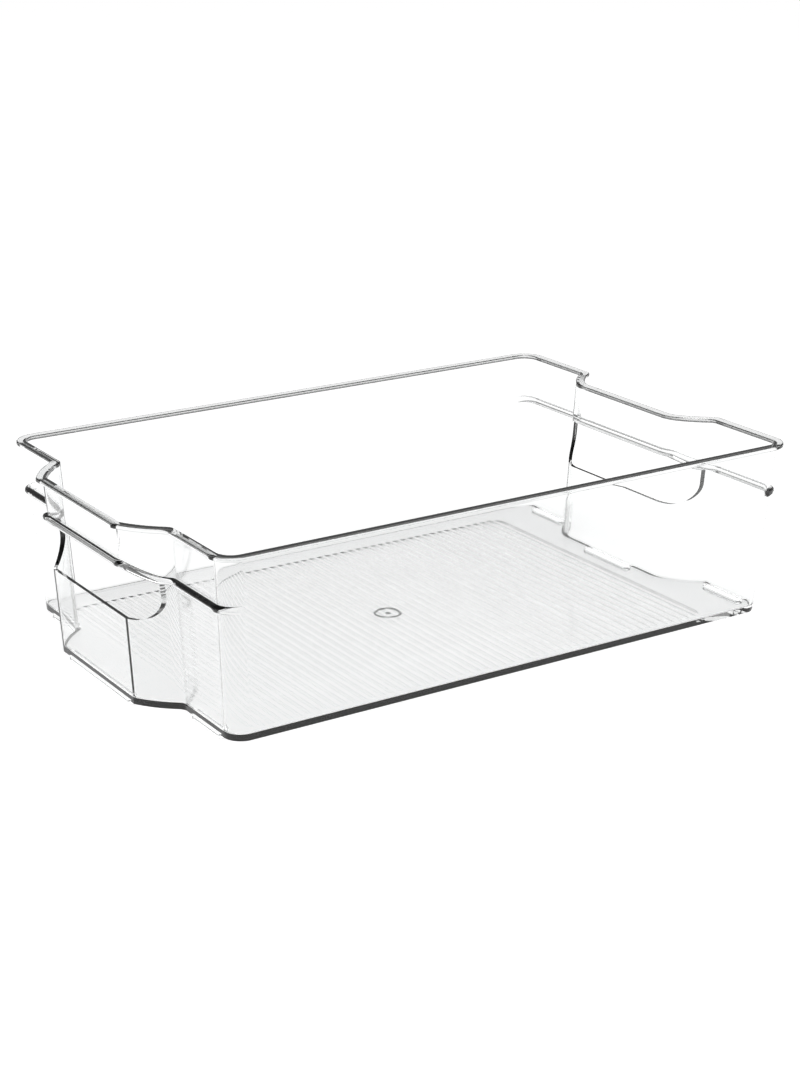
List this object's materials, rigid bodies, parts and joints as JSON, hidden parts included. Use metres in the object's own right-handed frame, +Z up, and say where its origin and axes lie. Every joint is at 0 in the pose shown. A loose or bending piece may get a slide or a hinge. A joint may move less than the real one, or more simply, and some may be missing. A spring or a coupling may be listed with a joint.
{
  "type": "fridge bin",
  "caption": "Open clear plastic fridge bin with leaning walls, a flanged rim, a jutting handle at one end, a matching recess at the other, finger gaps and low feet.",
  "frame": {"origin": "on the shelf, under the middle of the bin", "axes": "+X towards the end with the pushed-in handle, +Y towards the rear long wall, +Z up"},
  "size_m": [0.368, 0.241, 0.0995],
  "materials": {
    "clear_plastic": "clear, colourless, polished moulded plastic; fine ribbed lines on the floor"
  },
  "bodies": {
    "root": {"floor_panel": "clear_plastic", "front_wall": "clear_plastic", "rear_wall": "clear_plastic", "front_left_corner": "clear_plastic", "front_right_corner": "clear_plastic", "rear_left_corner": "clear_plastic", "rear_right_corner": "clear_plastic", "left_end_front_wall": "clear_plastic", "left_end_rear_wall": "clear_plastic", "left_handle_panel": "clear_plastic", "left_handle_bar": "clear_plastic", "left_front_step": "clear_plastic", "left_rear_step": "clear_plastic", "left_rib": "clear_plastic", "left_rim": "clear_plastic", "left_handle_foot": "clear_plastic", "front_left_foot": "clear_plastic", "rear_left_foot": "clear_plastic", "right_end_front_wall": "clear_plastic", "right_end_rear_wall": "clear_plastic", "right_handle_panel": "clear_plastic", "right_handle_bar": "clear_plastic", "right_front_step": "clear_plastic", "right_rear_step": "clear_plastic", "right_rib": "clear_plastic", "right_rim": "clear_plastic", "right_handle_foot": "clear_plastic", "front_right_foot": "clear_plastic", "rear_right_foot": "clear_plastic", "front_rim": "clear_plastic", "rear_rim": "clear_plastic", "gate_ring": "clear_plastic"}
  },
  "joints": []
}
